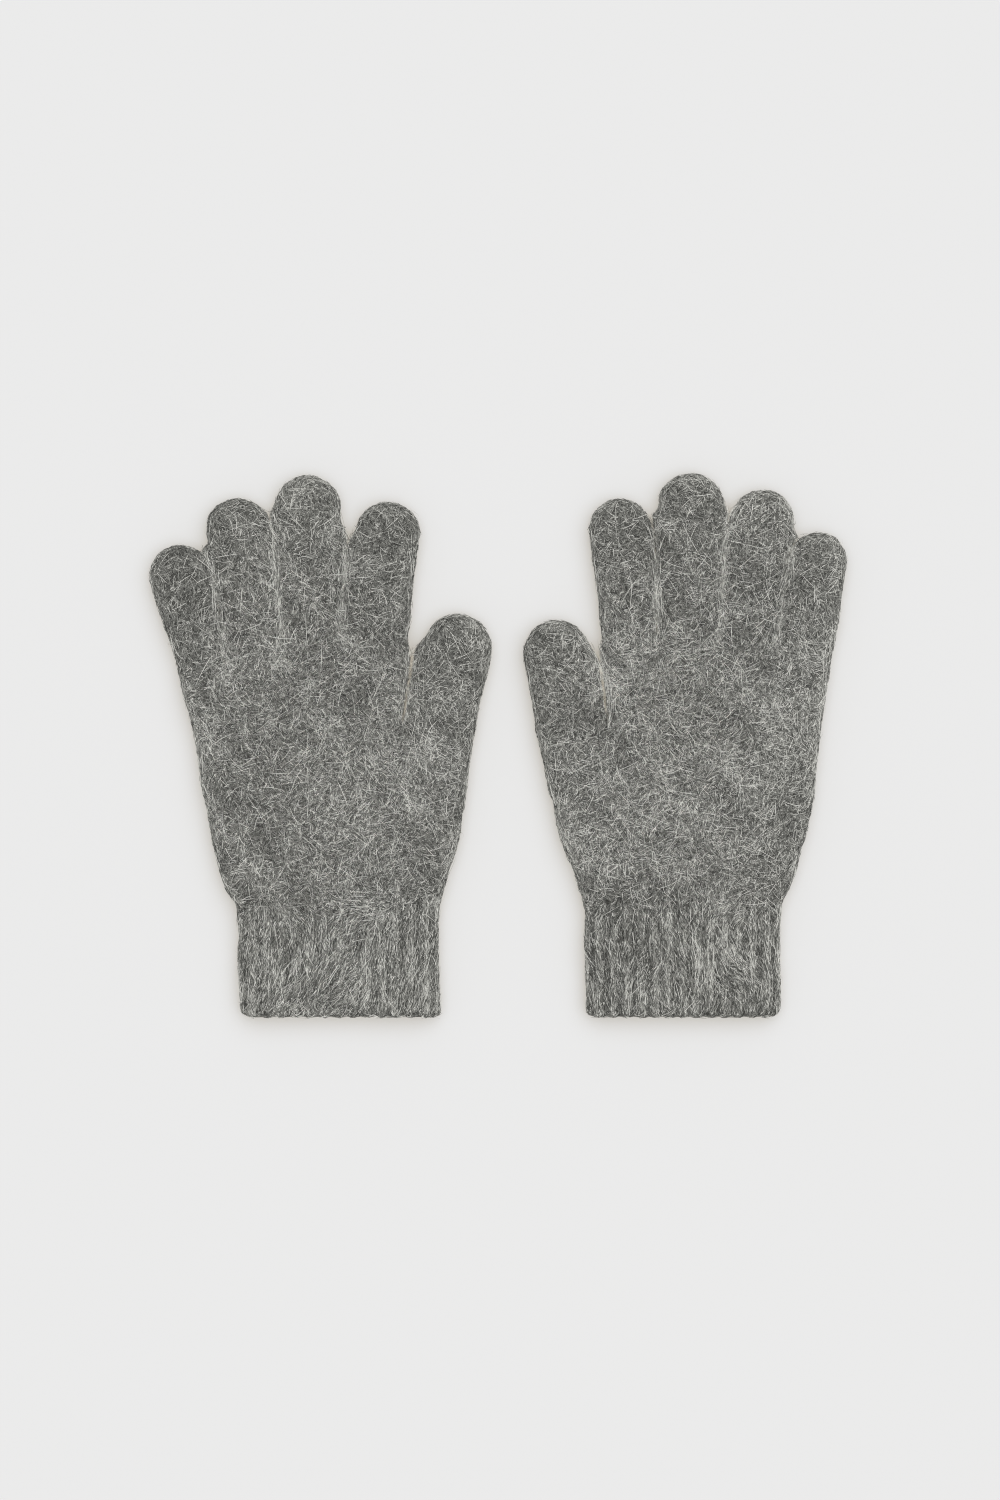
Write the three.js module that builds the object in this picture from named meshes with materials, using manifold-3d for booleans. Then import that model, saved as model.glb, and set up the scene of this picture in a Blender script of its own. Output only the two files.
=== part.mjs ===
// A pair of knitted gloves, lying flat and side by side with their thumbs inward.
//
// Millimetres, +Z up. +Y runs from the cuffs to the fingertips and +X from the left glove to
// the right one. The origin is on the table, under the middle of the pair.
//
// Each glove is a flattened hollow of knit, open at the cuff. It is split where it bends: the
// cuff folds at the wrist, and each finger and thumb folds at its knuckle and at its bend.
// All folds run across the glove, so every piece keeps its own place in X while it turns.

import * as THREE from 'three';
import { mergeVertices } from 'three/addons/utils/BufferGeometryUtils.js';
import Module from 'manifold-3d';

const wasm = await Module();
wasm.setup();

// Thicknesses
const GLOVE_THICKNESS = 12;   // the hand and fingers, both layers and the room between them
const CUFF_THICKNESS = 11;    // the ribbed cuff, which its elastic rib pulls a little flatter
const KNIT = 2.4;             // one layer of knit
const EDGE_ROUND = 4.5;       // radius of the outer edge, where the knit turns round
const POCKET_ROUND = EDGE_ROUND - KNIT;
const FOLD_GAP = 0.3;         // clearance between two pieces at a fold

// The ribbed cuff
const CUFF_TOP = -70;
const CUFF_BOTTOM = -120;
const RIBS = 14;              // ribs on each face
const RIB_DEPTH = 0.8;
const RIB_CREST = 0.56;       // share of the rib spacing that stands proud
const RIB_SLOPE = 0.12;       // share of the spacing taken by each flank

// How far a finger's outline, and the hand's, run on past the seams where they are joined or cut
const OVERLAP = 12;

// Steps in the round stretches
const TIP_STEPS = 6;
const SIDE_STEPS = 9;
const OUTER_BEVEL_STEPS = 2;
const POCKET_BEVEL_STEPS = 1;
const CUFF_EDGE_STEPS = 4;

// The gloves in plan. littleSide runs up the hand's edge from the cuff to the little finger,
// crotches are the points between the four fingers from the little finger on, indexSide runs
// from the index finger down to the thumb's crotch, and thumbSide from the thumb to the cuff.
// A finger tapers from its root to the round tip, and folds at two heights: knuckle and bend.
const LEFT = {
  side: 'left',
  littleSide: [[-115.8, CUFF_TOP], [-122, -58], [-129.6, -24], [-132.6, 0], [-137, 20], [-141.4, 36]],
  crotches: [[-119.3, 41], [-95, 42], [-70.3, 47]],
  indexSide: [[-40, 44.5], [-41.5, 21], [-44, 1]],
  thumbSide: [[-11.5, -1], [-14, -24], [-17.5, -45], [-22, -58], [-25.5, CUFF_TOP]],
  cuff: { top: [-115.8, -25.5], bottom: [-114, -25] },
  fingers: {
    thumb: { root: [-27, 1], rootHalf: 15.2, tip: [-17.4, 44.4], tipRadius: 14, knuckle: 8, bend: 33 },
    index: { root: [-55.2, 44.4], rootHalf: 15, tip: [-48.6, 94], tipRadius: 13.4, knuckle: 53, bend: 80 },
    middle: { root: [-82.4, 44.4], rootHalf: 12, tip: [-83.7, 105.1], tipRadius: 14.4, knuckle: 53, bend: 85 },
    ring: { root: [-106.7, 41.3], rootHalf: 11.7, tip: [-114.4, 95.4], tipRadius: 13.6, knuckle: 49, bend: 78 },
    little: { root: [-130.6, 38.2], rootHalf: 11, tip: [-140, 76], tipRadius: 13, knuckle: 47, bend: 67 },
  },
};

const RIGHT = {
  side: 'right',
  littleSide: [[124.8, CUFF_TOP], [130.2, -58], [139, -24], [141, 0], [143.5, 20], [147.8, 43]],
  crotches: [[121.3, 45], [96.5, 43.5], [69.8, 47]],
  indexSide: [[46.1, 44.8], [47.7, 20], [50, 1]],
  thumbSide: [[18.3, -1], [22.8, -24], [28.4, -45], [33.4, -58], [37, CUFF_TOP]],
  cuff: { top: [37, 124.8], bottom: [38, 123.8] },
  fingers: {
    thumb: { root: [33.2, 1], rootHalf: 15, tip: [25.3, 40.9], tipRadius: 14.3, knuckle: 8, bend: 31 },
    index: { root: [58, 44.8], rootHalf: 11.6, tip: [53.4, 95.4], tipRadius: 13.3, knuckle: 53, bend: 81 },
    middle: { root: [83.1, 45.3], rootHalf: 13.1, tip: [84.6, 106], tipRadius: 14, knuckle: 53, bend: 86 },
    ring: { root: [108.8, 44.4], rootHalf: 11.7, tip: [116, 99.3], tipRadius: 13.5, knuckle: 51, bend: 80 },
    little: { root: [134.9, 44.8], rootHalf: 12.5, tip: [140.4, 81.3], tipRadius: 12.6, knuckle: 51, bend: 71 },
  },
};

const HAND_COLOUR = 0x80817b;
const FINGER_COLOUR = 0x797a74;
const CUFF_COLOUR = 0x7e7e77;

// A closed geometry becomes a solid once its shared vertices are merged.
function toSolid(geometry) {
  const bare = geometry.clone();
  bare.deleteAttribute('normal');
  bare.deleteAttribute('uv');
  const merged = mergeVertices(bare, 1e-4);
  return new wasm.Manifold(new wasm.Mesh({
    numProp: 3,
    vertProperties: new Float32Array(merged.attributes.position.array),
    triVerts: new Uint32Array(merged.index.array),
  }));
}

function toMesh(name, solid, colour) {
  const { numProp, vertProperties, triVerts } = solid.getMesh();
  const position = new Float32Array((vertProperties.length / numProp) * 3);
  for (let i = 0; i < position.length; i += 1) {
    position[i] = vertProperties[Math.floor(i / 3) * numProp + (i % 3)];
  }
  const geometry = new THREE.BufferGeometry();
  geometry.setAttribute('position', new THREE.BufferAttribute(position, 3));
  geometry.setIndex(new THREE.BufferAttribute(new Uint32Array(triVerts), 1));
  geometry.computeVertexNormals();
  const material = new THREE.MeshStandardMaterial({ color: colour, roughness: 1, metalness: 0 });
  const mesh = new THREE.Mesh(geometry, material);
  mesh.name = name;
  return mesh;
}

// The part of a solid that lies between two heights in Y.
function between(solid, low, high) {
  const box = new THREE.BoxGeometry(1000, high - low, 100);
  box.translate(0, (low + high) / 2, 0);
  return solid.intersect(toSolid(box));
}

// A flat layer with rounded edges, from bottom to top in Z, whose widest outline is the shape.
function slab(shape, bottom, top, round, bevelSteps) {
  const geometry = new THREE.ExtrudeGeometry(shape, {
    depth: top - bottom - 2 * round,
    bevelEnabled: true,
    bevelThickness: round,
    bevelSize: round,
    bevelOffset: -round,
    bevelSegments: bevelSteps,
    curveSegments: TIP_STEPS,
  });
  geometry.translate(0, 0, bottom + round);
  return toSolid(geometry);
}

// The knit's outside is a slab of the full thickness. The room in it is a slab one layer smaller.
function knitSlab(shape) {
  return slab(shape, 0, GLOVE_THICKNESS, EDGE_ROUND, OUTER_BEVEL_STEPS);
}

function pocketSlab(shape) {
  return slab(shape, KNIT, GLOVE_THICKNESS - KNIT, POCKET_ROUND, POCKET_BEVEL_STEPS);
}

// A finger in plan: straight sides from behind the root to the tip circle, then half a circle.
function fingerShape({ root, rootHalf, tip, tipRadius }, inset) {
  const from = new THREE.Vector2(...root);
  const to = new THREE.Vector2(...tip);
  const along = to.clone().sub(from).normalize();
  const right = new THREE.Vector2(along.y, -along.x);
  const back = from.clone().addScaledVector(along, -OVERLAP);
  const half = rootHalf - inset;
  const shape = new THREE.Shape();
  shape.moveTo(back.x - right.x * half, back.y - right.y * half);
  shape.lineTo(back.x + right.x * half, back.y + right.y * half);
  shape.lineTo(from.x + right.x * half, from.y + right.y * half);
  const start = Math.atan2(right.y, right.x);
  shape.absarc(to.x, to.y, tipRadius - inset, start, start + Math.PI, false);
  shape.lineTo(from.x - right.x * half, from.y - right.y * half);
  return shape;
}

function smoothThrough(points, steps) {
  const curve = new THREE.SplineCurve(points.map(([x, y]) => new THREE.Vector2(x, y)));
  return curve.getPoints(steps);
}

// Every corner of a counter-clockwise outline moved inward by the same distance from both sides.
function insetOutline(points, distance) {
  return points.map((point, i) => {
    const before = points[(i + points.length - 1) % points.length];
    const after = points[(i + 1) % points.length];
    const into = point.clone().sub(before).normalize();
    const out = after.clone().sub(point).normalize();
    const middle = new THREE.Vector2(-into.y - out.y, into.x + out.x).normalize();
    const stretch = Math.max(0.5, middle.x * -into.y + middle.y * into.x);
    return point.clone().addScaledVector(middle, distance / stretch);
  });
}

// The hand in plan, run on below the cuff's top so that the fold can be cut clean across it.
function handOutline({ littleSide, crotches, indexSide, thumbSide }) {
  const littleEdge = smoothThrough(littleSide, SIDE_STEPS);
  const indexEdge = smoothThrough(indexSide, 3);
  const thumbEdge = smoothThrough(thumbSide, SIDE_STEPS);
  const below = CUFF_TOP - OVERLAP;
  const points = [
    new THREE.Vector2(littleSide[0][0], below),
    ...littleEdge,
    ...crotches.map(([x, y]) => new THREE.Vector2(x, y)),
    ...indexEdge,
    ...thumbEdge,
    new THREE.Vector2(thumbSide.at(-1)[0], below),
  ];
  return THREE.ShapeUtils.isClockWise(points) ? points.reverse() : points;
}

// The cuff in section, on X and Z: round at both edges, with ribs standing on both faces.
function cuffSection(width) {
  const radius = CUFF_THICKNESS / 2;
  const flat = width - 2 * radius;
  const pitch = flat / RIBS;
  const rib = [
    [(1 - RIB_CREST) / 2 - RIB_SLOPE, RIB_DEPTH],
    [(1 - RIB_CREST) / 2, 0],
    [(1 + RIB_CREST) / 2, 0],
    [(1 + RIB_CREST) / 2 + RIB_SLOPE, RIB_DEPTH],
  ];
  const shape = new THREE.Shape();
  shape.moveTo(radius, 0);
  for (let i = 0; i < RIBS; i += 1) {
    rib.forEach(([share, depth]) => shape.lineTo(radius + (i + share) * pitch, depth));
  }
  shape.lineTo(width - radius, 0);
  shape.absarc(width - radius, radius, radius, -Math.PI / 2, Math.PI / 2, false);
  for (let i = 0; i < RIBS; i += 1) {
    rib.forEach(([share, depth]) => {
      shape.lineTo(width - radius - (i + share) * pitch, CUFF_THICKNESS - depth);
    });
  }
  shape.lineTo(radius, CUFF_THICKNESS);
  shape.absarc(radius, radius, radius, Math.PI / 2, 1.5 * Math.PI, false);
  const inner = radius - KNIT;
  const mouth = new THREE.Path();
  mouth.moveTo(radius, radius - inner);
  mouth.absarc(radius, radius, inner, -Math.PI / 2, Math.PI / 2, true);
  mouth.absarc(width - radius, radius, inner, Math.PI / 2, -Math.PI / 2, true);
  shape.holes.push(mouth);
  return shape;
}

// The cuff: the section run along Y from the fold to the open end, narrowing a little on the way.
function cuffSolid({ top, bottom }) {
  const start = CUFF_TOP - FOLD_GAP / 2;
  const length = start - CUFF_BOTTOM;
  const width = top[1] - top[0];
  const geometry = new THREE.ExtrudeGeometry(cuffSection(width), {
    depth: length,
    bevelEnabled: false,
    curveSegments: CUFF_EDGE_STEPS,
  });
  geometry.rotateX(Math.PI / 2);
  geometry.translate(0, start, 0);
  const position = geometry.attributes.position;
  for (let i = 0; i < position.count; i += 1) {
    const down = (start - position.getY(i)) / length;
    const left = THREE.MathUtils.lerp(top[0], bottom[0], down);
    const right = THREE.MathUtils.lerp(top[1], bottom[1], down);
    position.setX(i, THREE.MathUtils.lerp(left, right, position.getX(i) / width));
  }
  return toSolid(geometry);
}

// One glove as its named pieces, all hollow and all in their places.
function glove(plan) {
  const outline = handOutline(plan);
  let hand = knitSlab(new THREE.Shape(outline));
  let room = pocketSlab(new THREE.Shape(insetOutline(outline, KNIT)));
  const pieces = [];
  for (const [finger, size] of Object.entries(plan.fingers)) {
    const outside = knitSlab(fingerShape(size, 0));
    const inside = pocketSlab(fingerShape(size, KNIT));
    const tube = outside.subtract(inside);
    const { knuckle, bend } = size;
    const end = size.tip[1] + size.tipRadius + 1;
    const base = between(tube, knuckle + FOLD_GAP / 2, bend - FOLD_GAP / 2);
    const tip = between(tube, bend + FOLD_GAP / 2, end);
    pieces.push(toMesh(`${plan.side}_${finger}_base`, base, FINGER_COLOUR));
    pieces.push(toMesh(`${plan.side}_${finger}_tip`, tip, FINGER_COLOUR));
    hand = hand.add(between(outside, size.root[1] - 2 * OVERLAP, knuckle - FOLD_GAP / 2));
    room = room.add(inside);
  }
  const handTop = 100;
  const palm = between(hand.subtract(room), CUFF_TOP + FOLD_GAP / 2, handTop);
  pieces.unshift(toMesh(`${plan.side}_hand`, palm, HAND_COLOUR));
  pieces.unshift(toMesh(`${plan.side}_cuff`, cuffSolid(plan.cuff), CUFF_COLOUR));
  const group = new THREE.Group();
  group.name = `${plan.side}_glove`;
  group.add(...pieces);
  return group;
}

const pair = new THREE.Group();
pair.name = 'knitted_gloves';
pair.add(glove(LEFT), glove(RIGHT));

export default pair;
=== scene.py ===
"""A pair of brushed-knit gloves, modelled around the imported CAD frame.

Each glove is a hand, a ribbed cuff and ten finger pieces of knit, and every piece carries a coat
of real fibres. All lengths here are millimetres until make_mesh() turns them into metres.
"""
import math
from typing import NamedTuple

import bmesh
import bpy
import numpy as np
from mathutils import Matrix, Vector
from mathutils.bvhtree import BVHTree


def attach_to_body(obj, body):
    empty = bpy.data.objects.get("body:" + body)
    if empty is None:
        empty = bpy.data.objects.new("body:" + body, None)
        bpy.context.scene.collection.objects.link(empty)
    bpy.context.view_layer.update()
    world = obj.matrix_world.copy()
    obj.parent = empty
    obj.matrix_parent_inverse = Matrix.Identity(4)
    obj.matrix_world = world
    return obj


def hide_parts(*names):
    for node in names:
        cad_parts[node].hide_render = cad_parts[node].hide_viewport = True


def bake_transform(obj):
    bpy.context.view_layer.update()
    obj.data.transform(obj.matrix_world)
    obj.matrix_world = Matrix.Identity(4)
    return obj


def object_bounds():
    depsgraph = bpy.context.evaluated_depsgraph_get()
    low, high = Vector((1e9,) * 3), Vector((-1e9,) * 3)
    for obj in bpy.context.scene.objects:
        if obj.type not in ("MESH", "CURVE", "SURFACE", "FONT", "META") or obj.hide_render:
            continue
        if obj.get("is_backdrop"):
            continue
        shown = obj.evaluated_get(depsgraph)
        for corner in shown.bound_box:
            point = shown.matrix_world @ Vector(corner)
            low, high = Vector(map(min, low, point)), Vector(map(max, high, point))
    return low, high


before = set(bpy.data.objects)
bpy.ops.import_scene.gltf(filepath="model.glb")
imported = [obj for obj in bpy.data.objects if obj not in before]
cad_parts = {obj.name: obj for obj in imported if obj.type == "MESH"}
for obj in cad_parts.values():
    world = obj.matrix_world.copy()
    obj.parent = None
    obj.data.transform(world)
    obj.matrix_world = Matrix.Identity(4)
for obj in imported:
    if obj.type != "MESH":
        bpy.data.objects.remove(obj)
cad_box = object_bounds()

MM = 0.001
SIDES = ("left", "right")
FINGERS = ("thumb", "index", "middle", "ring", "little")

# The knit's surface
STEP = 0.65            # spacing of the surface's points
FLOOR_GAP = 0.5        # room under the knit for the fibres that it lies on
WIDEST = 4.8           # height where the knit is widest, because it sags on the table
TOP = 11.6             # height of the knit's upper face
CUFF_TOP_FACE = 10.8   # height of the cuff's upper face
EDGE = 8.0             # width of the rounded edge of the hand and fingers, seen from above
LOWEST = 0.08          # nothing reaches lower than this
INSET = 0.7            # the hand and cuff keep this far inside the CAD outline, for their fibres
ON_LEVEL = 0.1         # a CAD corner this near a height is taken to be at it
CAD_WIDEST = 6         # height where the CAD's outline is measured
OUTSIDE = 400          # its rays start this far from the middle, outside both gloves

# The knit's bumps and sags: height, size across, seed and waves of each layer of ripples
RELIEF = ((0.12, 1.2, 11, 22), (0.10, 3.5, 12, 14), (0.20, 14.0, 13, 14))

# Parts that lie side by side bulge towards each other where the gap between them is narrow
FINGER_GAP = 0.3       # what is left between two of them
FINGER_CLOSES = 5.8    # the widest gap that two fingers close
THUMB_CLOSES = 6.2     # the widest gap that the thumb and the hand close
FINGER_SHARE = 0.5     # how much of a gap each finger, the thumb and the hand fill
THUMB_SHARE = 0.7
HAND_SHARE = 0.3
BULGE_ENDS = 4.0       # a finger bulges until this far into its round tip
BULGE_FADES = 12.0     # the length over which the bulge fades before that

# Where the pieces meet and bend
WEB = 6.0              # the web between two fingers ends this far short of their knuckles
SEAM = 3.5             # the hand ends and a finger begins this far short of the knuckle
TURNS_SQUARE = 12.0    # a finger's rings are level at the seam and square to it this far on
BEND_SEAM = 8.0        # the base piece ends and the tip piece begins this far short of the bend
BEND_SPREAD = 6.5      # a length on each side of the bend's axis
CUFF_TOP = -70.0       # height of the wrist's fold
WRIST_SEAM = -60.0     # height where the hand ends and the cuff begins
WRIST_SPREAD = 8.0     # a length on each side of the wrist's axis
PALM_MIDDLE = -12.0    # half of the hand's fibres are below this height

# The hand
EDGE_STEP = 1.5        # its outline is measured at heights this far apart
THUMB_LEAVES = -1.5    # the thumb hides the inner edge from this height to its knuckle
THUMB_TOP = 40.0       # the thumb lies beside the hand up to this height
PAST_SEAM = 8.0        # the palm is made this much longer than its cut at the wrist
PAST_CUT = 4.0         # the fingers' roots are made this much longer than their cuts
FINGER_ROOT = 18.0     # a finger's root reaches this far into the palm
THUMB_ROOT = 30.0
SMOOTHINGS = 8

# The ribbed cuff
RIBS = 14              # ribs on each face
RIBS_FIT = -95.0       # the ribs are spaced to fit the cuff's width at this height
RIB_DEPTH = 1.0
CUFF_KNIT = 2.4        # thickness of the cuff's knit
RIBS_BEGIN = -62.0     # the ribs deepen from this height
RIBS_FULL = -70.0      # down to this one
RIM_SHORT = 0.6        # the rim keeps this far inside the CAD outline, for its fibres
RIM_PINCH = 1.6        # how far each side of the cuff narrows at its rim
RIM_LENGTH = 4.0       # over this length
RIM_SCALLOP = 0.4      # how far the grooves end short of the crests
SCALLOP_LENGTH = 6.0   # over this length
INNER_STEP = 3.0       # spacing of the inner skin's rings
INNER_SMOOTHER = 0.7   # how much shallower the inner skin's ribs and bumps are

# How the fibres lie
STRAIGHT = 0.25        # how much they are combed along the glove, from 0 to 1
RIBS_STRAIGHTEN = 0.6  # how much more on the cuff
CREASES_STRAIGHTEN = 0.35
CUFF_LEAN = {"left": 0.3, "right": -0.1}   # how far the combed fibres lean from the ribs, radians
COMBED_OVER = 20.0     # the cuff's combing sets in over this length
STRAY = 0.25           # how far a fibre strays from its heading, radians
LENGTH_SKEW = 1.6      # above 1, most fibres are nearer to their coat's least length
LIFT_SKEW = 2          # and to its least lift
TURNS_FROM = 0.35      # steepness of the knit from which headings turn away from an outline
TURNS_OVER = 0.5       # they turn fully when it is steeper by this much
TURNS_BACK = 1.6       # how much of their outward part is then taken away
LOOKS_AHEAD = 1.5      # how far from a root the knit's neighbour is looked for
RIM_MARGIN = 2.0       # fibres end this far short of the cuff's end
LEAVES_BELOW = 3.0     # a fibre whose end has nothing this high under it has left the glove
SHORTENED = 0.35       # and is cut down to this share of its length
STEEP_HOLDS = 0.6      # how much less fibres are lifted where the knit is steep
ROOT_DEPTH = 0.15      # roots lie this deep in the knit
CLEARS = 0.1           # points are raised until they clear the knit by this
CEILING = 0.3          # and no higher than this over what they lie on
FACES_UP = 0.9         # how much more a ribbon faces up than the knit does
TAPER = 0.6            # how much narrower a ribbon is at its last full width than at its root
CUT_LANE = 1.15        # the hand is cut this many half widths to each side of a finger's middle
FIBRE_LANE = 1.3       # and its fibres go to the finger within this many

# Gaps and creases
BRIDGE = 3             # fibres bridge gaps up to twice this wide, in whole millimetres
GAP_DEPTH = 1.5        # a gap beside a fibre is one that fibres bridge if it is this deep
BRIDGED_FROM = 0.6     # a point of a fibre is over a gap if the gap is this deep
BRIDGE_RAISES = 6.0    # the most that a point over a gap is raised
KNIT_RAISES = 0.9      # the most that any other point is raised, to clear the knit
MOST_FALL = 3.0        # the most that a fibre bends down over an edge
CREASE = 2.6           # half width of the crease between two fingers, for the fibres in it
THUMB_CREASE = 3.0
CREASE_BEGINS = 16.0   # a crease begins this far short of the knuckles
CREASE_FADES = 12.0    # and sets in over this length
THUMB_CREASE_BEGINS = 6.0

# The fibres' tones
RIB_PAINTED_SHADE = {"left": 0.15, "right": 0.24}   # how much paler the crests are than the grooves: painted light on the crests, painted shade in the grooves
FINGERS_PALER = -0.06
CREASE_PALER = 0.01
# Painted light: how much paler the fibres are on the steep edges, against the shade that falls there
EDGE_PAINTED_LIGHT = 0.06

# How much paler each glove's cuff, and the rest of it, is: (side, whether it is the cuff)
PALER = {
    ("left", False): 0.0,
    ("left", True): 0.0,
    ("right", False): 0.02,
    ("right", True): -0.04,
}

# Patches of paler and darker fibres: height, size across, seed and waves of each layer
MOTTLE = ((0.14, 0.6, 21, 24), (0.035, 8.0, 22, 14), (0.03, 30.0, 23, 14))

# Each fibre tone: its name, its colour, and its share of an evenly mixed coat
FIBRE_TONES = (
    ("fibre_black", (0.058, 0.058, 0.053), 0.22),
    ("fibre_dark", (0.125, 0.126, 0.115), 0.22),
    ("fibre_mid", (0.210, 0.210, 0.193), 0.22),
    ("fibre_light", (0.350, 0.350, 0.322), 0.18),
    ("fibre_pale", (0.550, 0.547, 0.510), 0.11),
    ("fibre_white", (0.82, 0.815, 0.764), 0.05),
)

# The felted ground between the fibres
GROUND_DARK = (0.045, 0.045, 0.041)
GROUND_PALE = (0.36, 0.36, 0.33)

# The stage
FLOOR_COLOUR = (0.50, 0.545, 0.62)
FLOOR_GLOW = (0.338, 0.293, 0.218)
FLOOR_SIZE = 60        # metres, so that its horizon is far away
WORLD_LIGHT = 0.42     # share of the light that comes evenly from all round
BACKDROP = 0.83        # how bright the world looks behind the floor's horizon
SUN_WIDTH = 84         # degrees across, which makes the shadows soft
SUN_TILT = (-9, 10)    # degrees about X and Y

# The camera, in metres
FRAME_HEIGHT = 0.6592  # what it sees from top to bottom
FRAME_CENTRE = (0.0007, -0.0013)
CAMERA_DISTANCE = 2.0
PIXEL_FILTER = 1.1     # pixels wide, so that single fibres stay crisp


# ---------------------------------------------------------------- helpers

def corners(node):
    """A CAD node's vertices, in millimetres."""
    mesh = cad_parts[node].data
    co = np.empty(len(mesh.vertices) * 3)
    mesh.vertices.foreach_get("co", co)
    return co.reshape(-1, 3) / MM


def middle_of(values):
    return (values.min() + values.max()) / 2


def smoothstep(t):
    t = np.clip(t, 0, 1)
    return t * t * (3 - 2 * t)


def unit(v):
    return v / np.maximum(np.linalg.norm(v, axis=-1, keepdims=True), 1e-9)


def cross2(a, b):
    return a[..., 0] * b[..., 1] - a[..., 1] * b[..., 0]


def ripples(points, size, seed, waves=14):
    """A smooth random field of about unit height, whose bumps are about size across."""
    rng = np.random.default_rng(seed)
    total = np.zeros(len(points))
    for _ in range(waves):
        direction = unit(rng.normal(size=points.shape[1]))
        pitch = size * rng.uniform(1.4, 3.0)
        total += np.cos(points @ direction * (2 * math.pi / pitch) + rng.uniform(0, 2 * math.pi))
    return total * math.sqrt(2 / waves)


def layered(points, layers, start=0.0):
    """Layers of ripples, each with a height, a size, a seed and a number of waves, on a start."""
    total = start
    for height, size, seed, waves in layers:
        total = total + height * ripples(points, size, seed, waves)
    return total


def round_off(distance):
    """Share of the full thickness at this distance from a rounded edge."""
    return np.sqrt(np.maximum(0, 1 - (1 - np.clip(distance / EDGE, 0, 1)) ** 2))


def heights(up, share, top=TOP):
    """Heights over the table from a section's up, which runs from -1 to 1."""
    return WIDEST + share * np.where(up > 0, top - WIDEST, WIDEST - FLOOR_GAP) * up


def section(half_width, edge, across_steps, edge_steps):
    """A flattened round section, once round from the right: across, and up from -1 to 1."""
    quarter = np.linspace(0, math.pi / 2, edge_steps, endpoint=False)
    flat = np.linspace(1, -1, across_steps, endpoint=False)
    flat_half = half_width - edge
    top = np.concatenate([
        np.column_stack([flat_half + edge * np.cos(quarter), np.sin(quarter)]),
        np.column_stack([flat_half * flat, np.ones(across_steps)]),
        np.column_stack([-flat_half - edge * np.sin(quarter), np.cos(quarter)]),
    ])
    return np.concatenate([top, -top]).T


def swell(gap, closes, share):
    """How far a part bulges across a gap to its neighbour: its share, unless the gap is wide."""
    # All of its share up to the widest gap that closes, and nothing from 1.6 times that
    room = gap - FINGER_GAP
    return share * room * smoothstep((1.6 * closes - room) / (0.6 * closes))


def ring_faces(rows, columns, closed=False):
    """Quads of a stack of rings. If it is closed, the last ring joins the first."""
    r, c = np.meshgrid(np.arange(rows if closed else rows - 1), np.arange(columns), indexing="ij")
    r2, c2 = (r + 1) % rows, (c + 1) % columns
    quads = np.stack([r * columns + c, r * columns + c2, r2 * columns + c2, r2 * columns + c], -1)
    return quads.reshape(-1, 4)


def make_mesh(name, points, faces, materials, tones=None):
    """A mesh object from millimetre points and faces that all have the same number of sides."""
    mesh = bpy.data.meshes.new(name)
    mesh.vertices.add(len(points))
    mesh.vertices.foreach_set("co", (points * MM).astype(np.float32).ravel())
    mesh.loops.add(faces.size)
    mesh.loops.foreach_set("vertex_index", faces.astype(np.int32).ravel())
    mesh.polygons.add(len(faces))
    starts = np.arange(0, faces.size, faces.shape[1], dtype=np.int32)
    mesh.polygons.foreach_set("loop_start", starts)
    mesh.polygons.foreach_set("use_smooth", np.ones(len(faces), bool))
    for material in materials:
        mesh.materials.append(material)
    if tones is not None:
        mesh.polygons.foreach_set("material_index", tones.astype(np.int32))
    mesh.update(calc_edges=True)
    obj = bpy.data.objects.new(name, mesh)
    bpy.context.scene.collection.objects.link(obj)
    return obj


def mesh_arrays(obj):
    """An object's points in millimetres, their normals, and its triangles with their faces."""
    mesh = obj.data
    points = np.empty(len(mesh.vertices) * 3)
    mesh.vertices.foreach_get("co", points)
    normals = np.empty(len(mesh.vertices) * 3, np.float32)
    mesh.vertex_normals.foreach_get("vector", normals)
    mesh.calc_loop_triangles()
    triangles = np.empty(len(mesh.loop_triangles) * 3, np.int32)
    mesh.loop_triangles.foreach_get("vertices", triangles)
    owner = np.empty(len(mesh.loop_triangles), np.int32)
    mesh.loop_triangles.foreach_get("polygon_index", owner)
    return points.reshape(-1, 3) / MM, normals.reshape(-1, 3), triangles.reshape(-1, 3), owner


def move_points(obj, points):
    points[:, 2] = np.maximum(points[:, 2], LOWEST)
    obj.data.vertices.foreach_set("co", (points * MM).astype(np.float32).ravel())
    obj.data.update()


def finish_piece(obj):
    """Caps the piece's open ends and turns its faces outward. Fibres don't grow on the caps."""
    obj["coat_faces"] = len(obj.data.polygons)
    bm = bmesh.new()
    bm.from_mesh(obj.data)
    open_edges = [e for e in bm.edges if len(e.link_faces) == 1]
    if open_edges:
        bmesh.ops.holes_fill(bm, edges=open_edges, sides=0)
    bmesh.ops.recalc_face_normals(bm, faces=bm.faces[:])
    bm.to_mesh(obj.data)
    bm.free()
    return obj


def relief(points):
    """How far the brushed knit's surface stands off its plain shape: felted bumps, soft sags."""
    return layered(points, RELIEF)


# ---------------------------------------------------------------- fingers

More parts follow.
